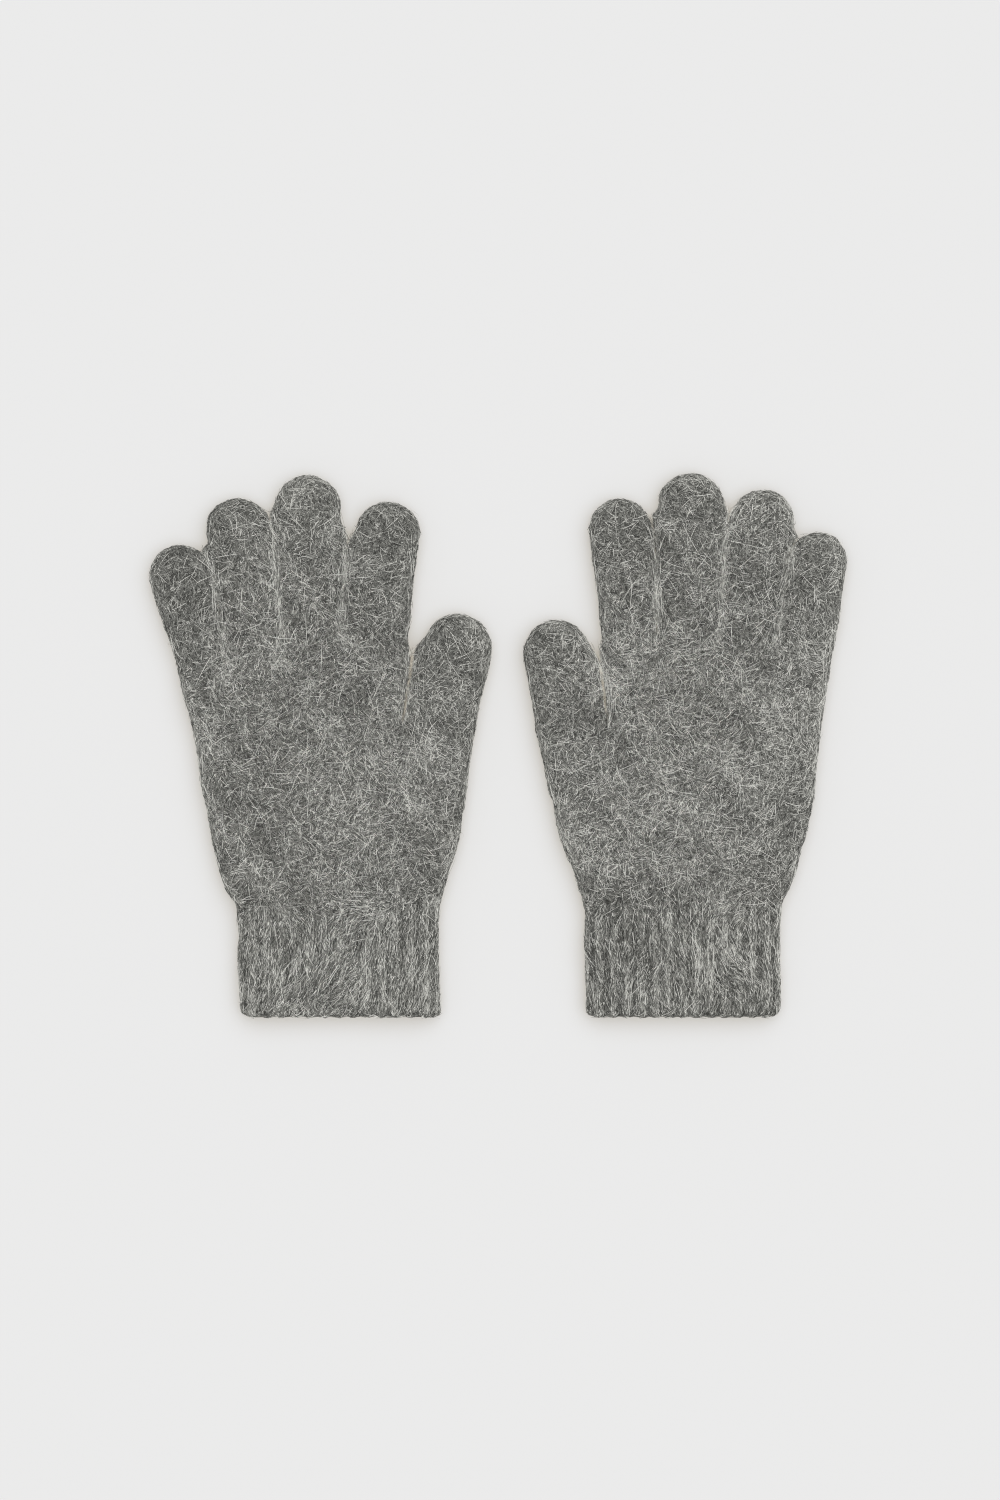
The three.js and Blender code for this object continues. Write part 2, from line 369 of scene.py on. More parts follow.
class Finger:
    """A finger's or thumb's centre line and half width, read from its two CAD nodes."""

    def __init__(self, side, name):
        self.name = f"{side}_{name}"
        base = corners(f"{self.name}_base")
        tip = corners(f"{self.name}_tip")
        self.knuckle = base[:, 1].min()
        self.bend = tip[:, 1].min()
        low = base[base[:, 1] < self.knuckle + ON_LEVEL, 0]
        high = base[base[:, 1] > base[:, 1].max() - ON_LEVEL, 0]
        self.origin = np.array([middle_of(low), self.knuckle])
        self.along = unit(np.array([middle_of(high), base[:, 1].max()]) - self.origin)
        self.right = np.array([self.along[1], -self.along[0]])
        arc = tip[tip[:, 1] > self.bend + 1.0, :2] - self.origin
        self.radius = np.ptp(arc @ self.right) / 2
        self.reach = (arc @ self.along).max() - self.radius
        self.low_half = np.ptp(low) / 2 * self.along[1]
        self.seam = self.knuckle - SEAM
        self.bend_seam = self.bend - BEND_SEAM
        self.clearance = {}
        is_thumb = name == "thumb"
        self.closes = THUMB_CLOSES if is_thumb else FINGER_CLOSES
        self.share = THUMB_SHARE if is_thumb else FINGER_SHARE
        self.root = THUMB_ROOT if is_thumb else FINGER_ROOT

    def centre(self, s):
        """The centre line's place, in plan, at a distance from the knuckle."""
        return self.origin + np.multiply.outer(s, self.along)

    def half(self, s):
        """Half width, before the finger bulges towards its neighbours."""
        share = np.clip(s / self.reach, -0.5, 1)
        straight = self.low_half + (self.radius - self.low_half) * share
        beyond = np.maximum(0, s - self.reach)
        return np.sqrt(np.maximum(0, straight ** 2 - beyond ** 2))

    def half_to(self, s, side):
        """Half width on one side, 1 for the right and -1 for the left."""
        half = self.half(s)
        if side not in self.clearance:
            return half
        fade = smoothstep((self.reach + BULGE_ENDS - s) / BULGE_FADES)
        return half + fade * swell(self.clearance[side](s) - half, self.closes, self.share)

    def lies_beside(self, other, side):
        """Notes another finger on that side, whose surface this one bulges towards."""
        def clear(s):
            across = side * self.right
            delta = other.origin - self.centre(s)
            turn = cross2(across, other.along)
            distance = cross2(delta, other.along) / turn
            return distance - other.half(cross2(delta, across) / turn)
        self.clearance[side] = clear

    def at_height(self, y):
        return (y - self.knuckle) / self.along[1]

    def holds(self, x, y):
        """How far, in half widths, a place in plan is from the centre line."""
        s = self.at_height(y)
        return np.abs(x - self.centre(s)[..., 0]) / np.maximum(self.half(s), 1)

    def tube(self, first_y, last_y=None):
        """Rings of points from a straight cut at first_y to another at last_y or the round tip."""
        start = self.at_height(first_y)
        tip_half = self.half(self.reach)
        if last_y is None:
            straight = np.arange(start, self.reach, STEP)
            turn = np.linspace(0, math.pi / 2, int(tip_half * 1.6 / STEP))[:-1]
            stations = np.concatenate([straight, self.reach + tip_half * np.sin(turn)])
        else:
            stations = np.arange(start, self.at_height(last_y), STEP)
        rings = []
        for s in stations:
            right, left = self.half_to(s, 1), self.half_to(s, -1)
            half = (right + left) / 2
            share = round_off(self.reach + tip_half - s)
            across, up = section(half, min(EDGE, 0.8 * half), across_steps=18, edge_steps=15)
            across = across + (right - left) / 2
            lean = smoothstep((s - self.at_height(self.seam)) / TURNS_SQUARE)
            direction = lean * self.right + (1 - lean) * np.array([1 / self.along[1], 0])
            x, y = self.centre(s)[:, None] + direction[:, None] * across
            rings.append(np.column_stack([x, y, heights(up, share)]))
        return stations, np.array(rings)


def displace_grid(grid):
    """A grid of rings moved along its outward normals by the knit's relief."""
    down = np.gradient(grid, axis=0)
    around = np.roll(grid, -1, 1) - np.roll(grid, 1, 1)
    normal = unit(np.cross(down, around))
    outward = grid - grid.mean(axis=1, keepdims=True)
    if (normal * outward).sum() < 0:
        normal = -normal
    push = relief(grid.reshape(-1, 3)).reshape(grid.shape[:2])
    return grid + normal * push[..., None]


def finger_pieces(finger, material):
    """The finger's two knit pieces: its base, from the hand to the bend, and its tip."""
    stations, grid = finger.tube(finger.seam)
    grid = displace_grid(grid)
    split = int(np.searchsorted(stations, finger.at_height(finger.bend_seam)))
    pieces = {}
    for part, rings in (("base", grid[:split + 1]), ("tip", grid[split:])):
        points = rings.reshape(-1, 3)
        points[:, 2] = np.maximum(points[:, 2], LOWEST)
        faces = ring_faces(len(rings), rings.shape[1])
        name = f"{finger.name}_{part}_knit"
        pieces[part] = finish_piece(make_mesh(name, points, faces, [material]))
    return pieces


# ---------------------------------------------------------------- plan

class Plan:
    """One glove seen from above: its fingers, and the edges of its hand and cuff."""

    def __init__(self, side):
        self.side = side
        self.outward = -1 if side == "left" else 1
        self.fingers = {name: Finger(side, name) for name in FINGERS}
        depsgraph = bpy.context.evaluated_depsgraph_get()
        self.trees = [
            BVHTree.FromObject(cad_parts[f"{side}_{part}"], depsgraph)
            for part in ("hand", "cuff")]
        self.seam_y = corners(f"{side}_hand")[:, 1].min()
        self.last_y = corners(f"{side}_cuff")[:, 1].min()
        self.row = [self.fingers[n] for n in ("little", "ring", "middle", "index")]
        for a, b in zip(self.row, self.row[1:]):
            a.lies_beside(b, -self.outward)
            b.lies_beside(a, self.outward)
        thumb = self.fingers["thumb"]
        self.edge_y = np.concatenate([
            np.arange(self.seam_y + 0.5, THUMB_LEAVES, EDGE_STEP),
            np.arange(thumb.knuckle + 0.5, THUMB_TOP, EDGE_STEP)])
        self.outer = np.array([self.cast(y, True) for y in self.edge_y])
        self.inner = np.array([self.cast(y, False) for y in self.edge_y])
        thumb.clearance[self.outward] = self.thumb_clearance
        s = thumb.at_height(self.edge_y)
        gap = self.thumb_clearance(s) - thumb.half(s)
        bulge = np.where(self.edge_y > thumb.knuckle, swell(gap, THUMB_CLOSES, HAND_SHARE), 0)
        self.inner = self.inner - self.outward * bulge
        self.rib_span = self.span(RIBS_FIT)

    def cast(self, y, outer):
        """The CAD outline's outer or inner edge at a height, moved in to leave the fibres room."""
        away = self.outward if outer else -self.outward
        on_hand = y > self.seam_y + ON_LEVEL
        tree = self.trees[0] if on_hand else self.trees[1]
        y = y if on_hand else min(y, self.seam_y - 0.7)
        start = Vector((away * OUTSIDE * MM, y * MM, CAD_WIDEST * MM))
        return tree.ray_cast(start, Vector((-away, 0, 0)))[0].x / MM - away * INSET

    def thumb_clearance(self, s):
        """From the thumb's centre line to the hand's edge beside it."""
        thumb = self.fingers["thumb"]
        place = thumb.centre(s)
        edge = np.interp(place[..., 1], self.edge_y, self.inner)
        return np.abs(edge - place[..., 0]) * thumb.along[1]

    def span(self, y):
        """The middle and half width of the hand or cuff at a height."""
        if y > self.seam_y + 0.5:
            ends = np.interp(y, self.edge_y, self.outer), np.interp(y, self.edge_y, self.inner)
        else:
            ends = self.cast(y, True), self.cast(y, False)
        return (ends[0] + ends[1]) / 2, abs(ends[0] - ends[1]) / 2

    def rib_crest(self, x, y):
        """1 on the crest of one of the cuff's ribs and 0 in the groove between two."""
        middle, half = self.rib_span
        turns = RIBS * (x - middle) / (2 * half)
        return smoothstep(0.5 + 0.7 * np.cos(2 * math.pi * turns))

    def crease(self, points):
        """1 over the creases between fingers, falling to 0 a few millimetres away."""
        near = np.zeros(len(points))
        for a, b in zip(self.row, self.row[1:]):
            y = points[:, 1]
            xa, xb = (f.centre(f.at_height(y))[:, 0] for f in (a, b))
            here = np.exp(-((points[:, 0] - (xa + xb) / 2) / CREASE) ** 2)
            begun = smoothstep((y - min(a.knuckle, b.knuckle) + CREASE_BEGINS) / CREASE_FADES)
            near = np.maximum(near, here * begun)
        thumb = self.fingers["thumb"]
        side = np.interp(points[:, 1], self.edge_y, self.inner)
        here = np.exp(-((points[:, 0] - side) / THUMB_CREASE) ** 2)
        low_y = thumb.knuckle - THUMB_CREASE_BEGINS
        beside = (points[:, 1] > low_y) * (points[:, 1] < THUMB_TOP)
        return np.maximum(near, here * beside)


# ---------------------------------------------------------------- hand

def palm_block(plan):
    """Rings of the palm, from below the wrist seam to the webs between the fingers."""
    low_y = WRIST_SEAM - PAST_SEAM
    row = plan.row
    webs = []
    for a, b in zip(row, row[1:]):
        webs.append(((a.origin[0] + b.origin[0]) / 2, min(a.knuckle, b.knuckle) - WEB))
    # The palm's top slopes down a little towards its two corners
    webs = [(row[0].origin[0], webs[0][1] - 4), *webs, (row[-1].origin[0], webs[-1][1] - 2)]
    web_x, web_y = np.array(sorted(webs)).T
    # The rings lie closer together where the top is rounded
    shares = np.concatenate([
        np.linspace(0, 0.9, 60), 0.9 + 0.1 * np.sin(np.linspace(0.1, math.pi / 2, 16))])
    rings = []
    for share in shares:
        middle, half = plan.span(low_y + share * (web_y.mean() - low_y))
        across, up = section(half, EDGE, across_steps=60, edge_steps=12)
        x = middle + across
        top = np.interp(x, web_x, web_y)
        y = low_y + share * (top - low_y)
        z = heights(up, round_off((1 - share) * (top - low_y)))
        rings.append(np.column_stack([x, y, z]))
    return np.array(rings)


def remeshed(obj, voxel):
    """Gives the object one even skin round everything in it."""
    modifier = obj.modifiers.new("skin", "REMESH")
    modifier.mode = "VOXEL"
    modifier.voxel_size = voxel * MM
    depsgraph = bpy.context.evaluated_depsgraph_get()
    mesh = bpy.data.meshes.new_from_object(obj.evaluated_get(depsgraph), depsgraph=depsgraph)
    obj.modifiers.clear()
    obj.data = mesh


def cut(bm, y, keep_above, inside):
    """Cuts away what lies past a height, among the faces that inside() picks."""
    faces = [f for f in bm.faces if inside(f.calc_center_median())]
    parts = [*faces, *(e for f in faces for e in f.edges), *(v for f in faces for v in f.verts)]
    geometry = dict.fromkeys(parts)   # each once and, unlike in a set, in the same order each run
    bmesh.ops.bisect_plane(
        bm, geom=list(geometry), dist=1e-7, plane_co=(0, y * MM, 0),
        plane_no=(0, -1 if keep_above else 1, 0), clear_outer=True)


def hand_piece(plan, material):
    """The hand: the palm and the roots of the fingers and thumb under one skin, cut at the seams."""
    bm = bmesh.new()
    blocks = [palm_block(plan)]
    for finger in plan.fingers.values():
        blocks.append(finger.tube(finger.knuckle - finger.root, finger.seam + PAST_CUT)[1])
    for grid in blocks:
        part = make_mesh("block", grid.reshape(-1, 3), ring_faces(len(grid), grid.shape[1]), [])
        bm.from_mesh(finish_piece(part).data)
        bpy.data.objects.remove(part)
    placeholder = np.zeros((3, 3)), np.array([[0, 1, 2]])
    hand = make_mesh(f"{plan.side}_hand_knit", *placeholder, [])
    bm.to_mesh(hand.data)
    bm.free()
    remeshed(hand, STEP)
    bm = bmesh.new()
    bm.from_mesh(hand.data)
    for _ in range(SMOOTHINGS):
        bmesh.ops.smooth_vert(
            bm, verts=bm.verts[:], factor=0.5, use_axis_x=True, use_axis_y=True, use_axis_z=True)
    cut(bm, WRIST_SEAM, True, lambda c: c.y < (WRIST_SEAM + 5) * MM)
    for finger in plan.fingers.values():
        def in_lane(c, finger=finger):
            y = c.y / MM
            return y > finger.seam - 2 and finger.holds(c.x / MM, y) < CUT_LANE
        cut(bm, finger.seam, False, in_lane)
    bm.to_mesh(hand.data)
    bm.free()
    hand.data.materials.clear()
    hand.data.materials.append(material)
    points, normals, _, _ = mesh_arrays(hand)
    move_points(hand, points + normals * relief(points)[:, None])
    for polygon in hand.data.polygons:
        polygon.use_smooth = True
    return finish_piece(hand)


# ---------------------------------------------------------------- cuff

def cuff_piece(plan, material):
    """The ribbed cuff: a tube whose outer skin turns round the open end into the inner one."""
    rim = CUFF_KNIT / 2
    end_y = plan.last_y + INSET + RIM_SHORT
    outer_y = np.arange(WRIST_SEAM, end_y + rim, -STEP)
    turn = np.linspace(0, math.pi, 9)[1:-1]
    inner_y = np.arange(end_y + rim, WRIST_SEAM, INNER_STEP)
    rows_y = np.concatenate([outer_y, end_y + rim - rim * np.sin(turn), inner_y, [WRIST_SEAM]])
    inset = np.concatenate([
        np.zeros(len(outer_y)), rim * (1 - np.cos(turn)), np.full(len(inner_y) + 1, CUFF_KNIT)])
    rings = []
    for y, depth in zip(rows_y, inset):
        middle, half = plan.span(y)
        into_cuff = smoothstep((RIBS_BEGIN - y) / (RIBS_BEGIN - RIBS_FULL))
        near_rim = float(smoothstep((end_y + RIM_LENGTH - y) / RIM_LENGTH))
        half -= RIM_PINCH * (1 - math.sqrt(1 - near_rim ** 2 * 0.99))
        top = TOP + (CUFF_TOP_FACE - TOP) * into_cuff
        edge = EDGE - 1.5 * into_cuff
        across, up = section(half, edge, across_steps=112, edge_steps=17)
        x = middle + across
        ring = np.column_stack([x, np.full(len(x), y), heights(up, 1, top)])
        outward = np.roll(ring, 1, 0) - np.roll(ring, -1, 0)
        outward = unit(np.column_stack([outward[:, 2], np.zeros(len(x)), -outward[:, 0]]))
        if (outward * (ring - ring.mean(0))).sum() < 0:
            outward = -outward
        crest = plan.rib_crest(x, y)
        drop = RIB_DEPTH * (1 - crest) * into_cuff
        depth_share = 1 - INNER_SMOOTHER * (depth / CUFF_KNIT)
        ring = ring - outward * (depth + drop * depth_share)[:, None]
        scalloped = smoothstep((end_y + SCALLOP_LENGTH - y) / SCALLOP_LENGTH)
        ring[:, 1] += RIM_SCALLOP * (1 - crest) * scalloped
        rings.append(ring + outward * (relief(ring) * depth_share)[:, None])
    grid = np.array(rings)
    points = grid.reshape(-1, 3)
    points[:, 2] = np.maximum(points[:, 2], LOWEST)
    faces = ring_faces(len(grid), grid.shape[1], closed=True)
    cuff = finish_piece(make_mesh(f"{plan.side}_cuff_knit", points, faces, [material]))
    cuff["coat_faces"] = grid.shape[1] * (len(outer_y) + len(turn) - 1)
    return cuff


# ---------------------------------------------------------------- materials

def principled(name, colour, roughness):
    material = bpy.data.materials.new(name)
    material.use_nodes = True
    shader = material.node_tree.nodes["Principled BSDF"]
    shader.inputs["Base Color"].default_value = (*colour, 1)
    shader.inputs["Roughness"].default_value = roughness
    shader.inputs["Specular IOR Level"].default_value = 0.2
    return material, shader


def knit_material(name):
    """The felted ground under the fibres: dark and pale flecks a fibre or two wide."""
    material, shader = principled(name, (0.12, 0.12, 0.11), 0.95)
    nodes, links = material.node_tree.nodes, material.node_tree.links
    place = nodes.new("ShaderNodeTexCoord")
    flecks = nodes.new("ShaderNodeTexNoise")
    flecks.inputs["Scale"].default_value = 900
    flecks.inputs["Detail"].default_value = 4
    flecks.inputs["Roughness"].default_value = 0.75
    links.new(place.outputs["Object"], flecks.inputs["Vector"])
    ramp = nodes.new("ShaderNodeValToRGB")
    dark, pale = ramp.color_ramp.elements
    dark.position, dark.color = 0.35, (*GROUND_DARK, 1)
    pale.position, pale.color = 0.65, (*GROUND_PALE, 1)
    links.new(flecks.outputs["Fac"], ramp.inputs["Fac"])
    links.new(ramp.outputs["Color"], shader.inputs["Base Color"])
    bump = nodes.new("ShaderNodeBump")
    bump.inputs["Strength"].default_value = 0.8
    bump.inputs["Distance"].default_value = 0.0004
    links.new(flecks.outputs["Fac"], bump.inputs["Height"])
    links.new(bump.outputs["Normal"], shader.inputs["Normal"])
    return material


# ---------------------------------------------------------------- fibres

class Cover:
    """The height of a glove's upper surface over a grid of one-millimetre cells."""

    def __init__(self, pieces):
        points = np.concatenate([mesh_arrays(p)[0] for p in pieces])
        margin = 8
        self.low = np.floor(points[:, :2].min(0)) - margin
        size = (np.ceil(points[:, :2].max(0)) + margin - self.low).astype(int)
        self.plain = np.zeros(size)
        cell = np.floor(points[:, :2] - self.low).astype(int)
        np.maximum.at(self.plain, (cell[:, 0], cell[:, 1]), points[:, 2])
        reach = range(-BRIDGE, BRIDGE + 1)
        near = [(i, j) for i in reach for j in reach if i * i + j * j <= BRIDGE ** 2 + 1]
        wide = np.max([np.roll(self.plain, n, (0, 1)) for n in near], axis=0)
        self.bridged = np.min([np.roll(wide, n, (0, 1)) for n in near], axis=0)

    def neighboured(self, places):
        """Whether these places are over a gap that fibres bridge."""
        x, y = places[:, 0], places[:, 1]
        return self.at(self.bridged, x, y) - self.at(self.plain, x, y) > GAP_DEPTH

    def at(self, table, x, y):
        """The height of one of the two surfaces, plain or bridged, between its cells."""
        place = np.stack([x - self.low[0] - 0.5, y - self.low[1] - 0.5], -1)
        cell = np.floor(place).astype(int)
        u, v = np.moveaxis(place - cell, -1, 0)
        i = np.clip(cell[..., 0], 0, table.shape[0] - 2)
        j = np.clip(cell[..., 1], 0, table.shape[1] - 2)
        return ((table[i, j] * (1 - u) + table[i + 1, j] * u) * (1 - v)
                + (table[i, j + 1] * (1 - u) + table[i + 1, j + 1] * u) * v)


class Coat(NamedTuple):
    """One kind of fibre. A pair of values is the least and the most of them."""
    upper: float       # fibres to a square millimetre where the knit faces up
    lower: float       # and where it faces down
    length: tuple
    width: tuple
    lift: tuple        # how far the fibre's highest part stands off the knit
    bow: float         # how far it curves sideways at most, radians
    spread: float      # how far its heading strays from its neighbours', radians
    segments: int
    paler: float       # how much paler it is than an even mix of the tones
    evenness: float    # how little it thins out between its clumps


UNDERCOAT = Coat(
    upper=5.6, lower=1.1, length=(1.3, 4.0), width=(0.17, 0.34), lift=(0.05, 0.6),
    bow=0.9, spread=0.7, segments=2, paler=0.0, evenness=0.8)
WISPS = Coat(
    upper=1.1, lower=0.15, length=(3.5, 10.0), width=(0.14, 0.23), lift=(0.2, 0.9),
    bow=0.7, spread=0.35, segments=5, paler=0.22, evenness=0.1)
LONG_HAIRS = Coat(
    upper=0.045, lower=0.005, length=(7.0, 16.0), width=(0.17, 0.26), lift=(0.4, 1.0),
    bow=0.5, spread=0.6, segments=7, paler=0.65, evenness=0.3)
FLYAWAYS = Coat(
    upper=0.22, lower=0.12, length=(2.0, 5.5), width=(0.05, 0.08), lift=(0.5, 1.8),
    bow=1.4, spread=1.2, segments=4, paler=0.8, evenness=0.5)
COATS = (UNDERCOAT, WISPS, LONG_HAIRS, FLYAWAYS)


def grow_roots(piece, upper, lower, rng):
    """Random places on a piece's faces, upper or lower to a square millimetre, and normals."""
    points, _, triangles, owner = mesh_arrays(piece)
    triangles = triangles[owner < piece["coat_faces"]]
    a, b, c = (points[triangles[:, k]] for k in range(3))
    facing = np.cross(b - a, c - a)
    area = np.linalg.norm(facing, axis=1) / 2
    normals = np.zeros_like(points)
    for k in range(3):
        np.add.at(normals, triangles[:, k], facing)
    normal = unit(normals[triangles].sum(1))
    facing_up = smoothstep((normal[:, 2] + 0.5) / 0.8)
    total = np.cumsum(area * (lower + (upper - lower) * facing_up))
    chosen = np.searchsorted(total, rng.uniform(0, total[-1], int(total[-1])))
    chosen = np.minimum(chosen, len(total) - 1)
    u, v = rng.uniform(size=(2, len(chosen)))
    fold = u + v > 1
    u, v = np.where(fold, 1 - u, u), np.where(fold, 1 - v, v)
    place = a[chosen] + (b - a)[chosen] * u[:, None] + (c - a)[chosen] * v[:, None]
    return place, normal[chosen]


def lay_headings(roots, normals, angle, length, cover, rim_y):
    """Directions along the surface. At an outline they turn inward, but not beside a bridged gap."""
    heading = np.column_stack([np.sin(angle), np.cos(angle), np.zeros(len(roots))])
    level = normals * [1, 1, 0]
    steep = np.linalg.norm(level, axis=1)
    out = level / np.maximum(steep, 1e-6)[:, None]
    outgoing = (heading * out).sum(1) * smoothstep((steep - TURNS_FROM) / TURNS_OVER)
    outgoing = np.where(cover.neighboured(roots + LOOKS_AHEAD * out), 0, outgoing)
    heading -= out * (np.maximum(outgoing, 0) * TURNS_BACK)[:, None]
    if rim_y is not None:
        ends_y = roots[:, 1] + heading[:, 1] * length
        falls = (heading[:, 1] < 0) & (ends_y < rim_y + RIM_MARGIN)
        heading[falls, 1] *= -1
    return unit(heading - normals * (heading * normals).sum(1, keepdims=True))


def lay_strands(roots, normals, heading, length, lift, bow, segments, cover):
    """Centre lines of fibres that lie along the surface: strands, then points along each."""
    # Each curves sideways in the plane of its root
    side = np.cross(normals, heading)
    t = (np.arange(segments) + 0.5) / segments
    turn = bow[:, None] * (t - 0.3)
    step = heading[:, None] * np.cos(turn)[..., None] + side[:, None] * np.sin(turn)[..., None]
    step *= (length / segments)[:, None, None]
    path = np.concatenate([np.zeros((len(roots), 1, 3)), np.cumsum(step, 1)], 1) + roots[:, None]
    # It rises off the knit, and falls with the knit where that rounds off across it
    along = np.linspace(0, 1, segments + 1)
    steep = np.linalg.norm(normals[:, :2], axis=1)
    across = (heading * unit(normals * [1, 1, 0])).sum(1)
    bend = across ** 2 * (0.04 + 0.16 * steep ** 2) * smoothstep(steep / 0.15)
    fall = 0.5 * (bend * length ** 2)[:, None] * along ** 2
    rise = lift[:, None] * np.sin(along * math.pi * 0.8) - ROOT_DEPTH * (1 - along)
    path += normals[:, None] * (rise - np.minimum(fall, MOST_FALL))[..., None]
    # It is raised out of the knit and over gaps, but no higher than what it lies on
    x, y = path[..., 0], path[..., 1]
    plain, bridged = cover.at(cover.plain, x, y), cover.at(cover.bridged, x, y)
    bridging = bridged - plain > BRIDGED_FROM
    wanted = np.where(bridging, bridged, plain) + CLEARS + 0.6 * rise
    most = np.where(bridging, BRIDGE_RAISES, KNIT_RAISES)
    upper = ((normals[:, 2] > 0.2) & (roots[:, 2] > WIDEST))[:, None]
    raised = np.clip(wanted - path[..., 2], 0, most)
    ceiling = np.maximum(bridged, roots[:, 2:]) + CEILING + rise
    path[..., 2] = np.clip(path[..., 2] + raised * upper, LOWEST, np.maximum(ceiling, LOWEST))
    return path


def ribbons(path, normals, width, roll):
    """Points of flat tapering ribbons along the strands, which face up more than the knit does."""
    count, points, _ = path.shape
    along = unit(np.gradient(path, axis=1))
    facing = unit(normals + [0, 0, FACES_UP])
    side = unit(np.cross(along, facing[:, None]))
    side = side * np.cos(roll)[:, None, None] + np.cross(side, along) * np.sin(roll)[:, None, None]
    t = np.linspace(0, 1, points)
    half = width[:, None] / 2 * (1 - TAPER * t ** 2)
    left, right = path - side * half[..., None], path + side * half[..., None]
    body = np.stack([left[:, :-1], right[:, :-1]], 2).reshape(count, -1, 3)
    vertices = np.concatenate([body, path[:, -1:]], 1)
    vertices[..., 2] = np.maximum(vertices[..., 2], LOWEST)
    return vertices


def ribbon_faces(segments):
    """The triangles of one ribbon, whose last point is its tip."""
    faces = []
    for k in range(segments - 1):
        faces += [(2 * k, 2 * k + 1, 2 * k + 3), (2 * k, 2 * k + 3, 2 * k + 2)]
    end = 2 * (segments - 1)
    return np.array([*faces, (end, end + 1, end + 2)])


def kept(coat, roots, normals, crease, clump, rng):
    """Which fibres stay: fewer between the clumps, and flyaways mostly at the outline."""
    share = smoothstep(coat.evenness + clump * 0.5 + 0.7 * crease)
    keep = rng.uniform(size=len(roots)) < share
    if coat is FLYAWAYS:
        steep = np.linalg.norm(normals[:, :2], axis=1)
        keep &= rng.uniform(size=len(roots)) < 0.2 + 0.8 * steep
    return keep


def combed(coat, kind, roots, crease, ribbed, lean, rng):
    """The fibres' angles in plan from the glove's length. They run along ribs and creases."""
    count = len(roots)
    straight = np.clip(STRAIGHT + RIBS_STRAIGHTEN * ribbed + CREASES_STRAIGHTEN * crease, 0, 0.9)
    flow = layered(roots, ((1.7, 17, 31, 14), (1.1, 5, 32 + kind, 14)))
    angle = (1 - straight) * (flow + coat.spread * rng.normal(size=count))
    either_way = STRAY * rng.normal(size=count) + np.where(rng.uniform(size=count) < 0.5, 0, math.pi)
    return angle + either_way + lean * ribbed


def paleness(coat, part, plan, roots, crease, steep, ribbed):
    """How much paler than an even mix of the tones each fibre is, with painted light on the steep
    edges and painted shade in the cuff's rib grooves.
    """
    # Paler fibres on the steep edges are painted light, against their shade
    paler = (layered(roots, MOTTLE, coat.paler) + CREASE_PALER * crease
             + EDGE_PAINTED_LIGHT * smoothstep(steep))
    paler += PALER[plan.side, part == "cuff"]
    if part == "cuff":
        # Painted shade in the rib grooves and painted light on the crests
        crest = plan.rib_crest(roots[:, 0], roots[:, 1])
        paler += RIB_PAINTED_SHADE[plan.side] * (0.3 + 0.7 * ribbed) * (crest - 0.5)
    if part in ("base", "tip"):
        paler += FINGERS_PALER
    return paler


def fibres_on(piece, kind, part, plan, cover, rng):
    """The fibres of one coat on one piece, as ribbons with tones."""
    coat = COATS[kind]
    roots, normals = grow_roots(piece, coat.upper, coat.lower, rng)
    crease = plan.crease(roots)
    clump = 0.5 + 0.5 * ripples(roots, 4.5, 41 + kind)
    keep = kept(coat, roots, normals, crease, clump, rng)
    roots, normals, crease = roots[keep], normals[keep], crease[keep]
    steep = np.linalg.norm(normals[:, :2], axis=1)
    count = len(roots)
    ribbed = smoothstep((WRIST_SEAM - roots[:, 1]) / COMBED_OVER) * (part == "cuff")
    angle = combed(coat, kind, roots, crease, ribbed, CUFF_LEAN[plan.side], rng)
    chance = rng.uniform(size=(5, count))
    length = coat.length[0] + (coat.length[1] - coat.length[0]) * chance[0] ** LENGTH_SKEW
    rim_y = plan.last_y if part == "cuff" else None
    heading = lay_headings(roots, normals, angle, length, cover, rim_y)
    held_down = 0
    if coat is not FLYAWAYS:
        ends = roots + heading * length[:, None]
        leaves = cover.at(cover.bridged, ends[:, 0], ends[:, 1]) < LEAVES_BELOW
        length = np.where(leaves, SHORTENED * length, length)
        held_down = STEEP_HOLDS * steep
    width = coat.width[0] + (coat.width[1] - coat.width[0]) * chance[1]
    lift = coat.lift[0] + (coat.lift[1] - coat.lift[0]) * chance[2] ** LIFT_SKEW * (1 - held_down)
    bow = coat.bow * (chance[3] * 2 - 1)
    path = lay_strands(roots, normals, heading, length, lift, bow, coat.segments, cover)
    bounds = np.cumsum([share for _, _, share in FIBRE_TONES])[:-1]
    paler = paleness(coat, part, plan, roots, crease, steep, ribbed)
    return {
        "vertices": ribbons(path, normals, width, rng.uniform(-0.7, 0.7, count)),
        "tones": np.searchsorted(bounds, chance[4] + paler),
        "faces": ribbon_faces(coat.segments),
    }


def pick(strands, chosen):
    """Some of the fibres of a batch."""
    return {**strands, "vertices": strands["vertices"][chosen], "tones": strands["tones"][chosen]}


def in_halves(batches, y):
    """The fibres below and then above a height: one mesh of them all would be too large."""
    for side in (-1, 1):
        yield [pick(b, side * (b["vertices"][:, 0, 1] - y) > 0) for b in batches]


def fuzz_mesh(name, batches, materials):
    """One mesh of all the fibres in the batches."""
    vertices, triangles, tones, offset = [], [], [], 0
    for batch in batches:
        count, per_strand, _ = batch["vertices"].shape
        first = offset + np.arange(count) * per_strand
        vertices.append(batch["vertices"].reshape(-1, 3))
        triangles.append((batch["faces"][None] + first[:, None, None]).reshape(-1, 3))
        tones.append(np.repeat(batch["tones"], len(batch["faces"])))
        offset += count * per_strand
    return make_mesh(name, np.concatenate(vertices), np.concatenate(triangles), materials,
                     np.concatenate(tones))


# ---------------------------------------------------------------- gloves

def blend_y(piece, start):
    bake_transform(piece)


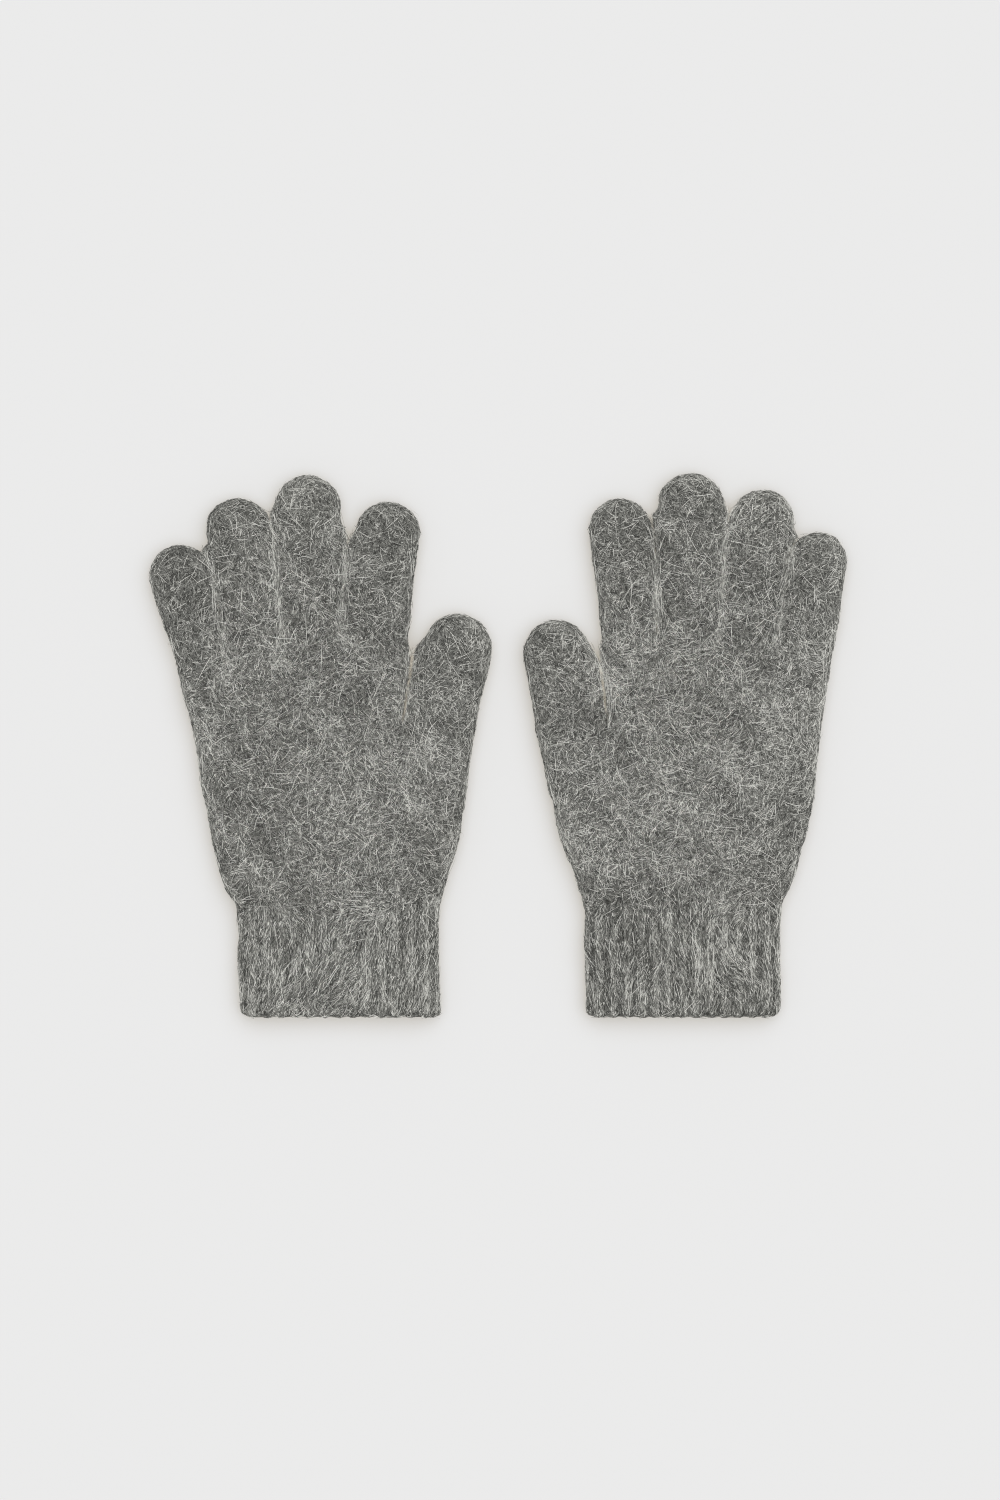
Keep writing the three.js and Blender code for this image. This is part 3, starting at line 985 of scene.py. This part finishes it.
def attach(piece, part, side, finger):
    """Makes a hand piece follow the hand's body; any other piece only has its transform baked in."""
    hand = f"{side}_hand_body"
    if part == "hand":
        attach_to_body(piece, hand)
    elif part == "cuff":
        blend_y(piece, CUFF_TOP + WRIST_SPREAD)
    elif part == "base":
        blend_y(piece, finger.seam)
    else:
        blend_y(piece,
                finger.bend - BEND_SPREAD)


def share_out(strands, part, name, plan):
    """Which piece each fibre belongs to: one that crosses a seam goes to the piece that bends."""
    x, y = strands["vertices"][..., 0], strands["vertices"][..., 1]
    high, low = y.max(1), y.min(1)
    if part == "hand":
        left = np.ones(len(high), bool)
        for finger_name, finger in plan.fingers.items():
            goes = left & (high > finger.seam) & (finger.holds(x.mean(1), high) < FIBRE_LANE)
            left &= ~goes
            yield ("base", finger_name), pick(strands, goes)
        goes = left & (low < WRIST_SEAM)
        yield ("cuff", None), pick(strands, goes)
        yield ("hand", None), pick(strands, left & ~goes)
    elif part == "base":
        past = high > plan.fingers[name].bend_seam
        yield ("tip", name), pick(strands, past)
        yield ("base", name), pick(strands, ~past)
    else:
        yield (part, name), strands


def build_glove(side, knit, fibres):
    """One glove's knit pieces and their fibres; each piece hides its CAD node, and the hand's pieces
    follow the hand's body.
    """
    plan = Plan(side)
    pieces = {
        ("hand", None): hand_piece(plan, knit["hand"]),
        ("cuff", None): cuff_piece(plan, knit["cuff"]),
    }
    for name, finger in plan.fingers.items():
        for part, piece in finger_pieces(finger, knit["finger"]).items():
            pieces[part, name] = piece
    cover = Cover(list(pieces.values()))
    fuzz = {key: [] for key in pieces}
    for index, ((part, name), piece) in enumerate(pieces.items()):
        for kind in range(len(COATS)):
            rng = np.random.default_rng([SIDES.index(side), index, kind])
            strands = fibres_on(piece, kind, part, plan, cover, rng)
            for key, chosen in share_out(strands, part, name, plan):
                fuzz[key].append(chosen)
    for (part, name), piece in pieces.items():
        node = f"{side}_{name}_{part}" if name else f"{side}_{part}"
        groups = [fuzz[part, name]]
        if part == "hand":
            groups = in_halves(fuzz[part, name], PALM_MIDDLE)
        coats = [
            fuzz_mesh(f"{node}_fuzz{n or ''}", group, fibres) for n, group in enumerate(groups)]
        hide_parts(node)
        for each in (piece, *coats):
            attach(each, part, side, plan.fingers.get(name))


# ---------------------------------------------------------------- stage

def build_stage():
    """A pale floor that glows a little, under soft light from above, a bit behind and right."""
    floor_material, shader = principled("floor", FLOOR_COLOUR, 1.0)
    shader.inputs["Specular IOR Level"].default_value = 0
    shader.inputs["Emission Color"].default_value = (*FLOOR_GLOW, 1)
    shader.inputs["Emission Strength"].default_value = 1
    bpy.ops.mesh.primitive_plane_add(size=FLOOR_SIZE, location=(0, 0, 0))
    floor = bpy.context.object
    floor.name = "floor"
    floor.data.materials.append(floor_material)
    floor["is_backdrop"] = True
    world = bpy.data.worlds.new("world")
    world.use_nodes = True
    nodes, links = world.node_tree.nodes, world.node_tree.links
    nodes["Background"].inputs["Color"].default_value = (1, 1, 1, 1)
    # The camera sees the backdrop, and everything else sees the world's light
    seen = nodes.new("ShaderNodeMapRange")
    seen.inputs["To Min"].default_value = WORLD_LIGHT
    seen.inputs["To Max"].default_value = BACKDROP
    links.new(nodes.new("ShaderNodeLightPath").outputs["Is Camera Ray"], seen.inputs["Value"])
    links.new(seen.outputs["Result"], nodes["Background"].inputs["Strength"])
    bpy.context.scene.world = world
    light = bpy.data.lights.new("overhead", "SUN")
    light.energy = (1 - WORLD_LIGHT) * math.pi
    light.angle = math.radians(SUN_WIDTH)
    lamp = bpy.data.objects.new("overhead", light)
    lamp.rotation_euler = (*(math.radians(tilt) for tilt in SUN_TILT), 0)
    bpy.context.scene.collection.objects.link(lamp)


def build_camera():
    """A camera that looks straight down. Its frame is measured at half the gloves' height."""
    data = bpy.data.cameras.new("camera")
    data.sensor_width = 36
    data.lens = data.sensor_width * CAMERA_DISTANCE / FRAME_HEIGHT
    data.clip_end = 20
    camera = bpy.data.objects.new("camera", data)
    camera.location = (*FRAME_CENTRE, TOP / 2 * MM + CAMERA_DISTANCE)
    bpy.context.scene.collection.objects.link(camera)
    bpy.context.scene.camera = camera


fibres = [principled(name, colour, 0.75)[0] for name, colour, _ in FIBRE_TONES]
knit = {part: knit_material(f"{part}_knit") for part in ("hand", "finger", "cuff")}
for side in SIDES:
    build_glove(side, knit, fibres)
build_stage()
build_camera()
bpy.context.scene.view_settings.view_transform = "Standard"
bpy.context.scene.cycles.filter_width = PIXEL_FILTER
bpy.context.scene.cycles.denoising_prefilter = "NONE"

bpy.context.view_layer.update()
[[list(corner) for corner in box] for box in (cad_box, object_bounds())]
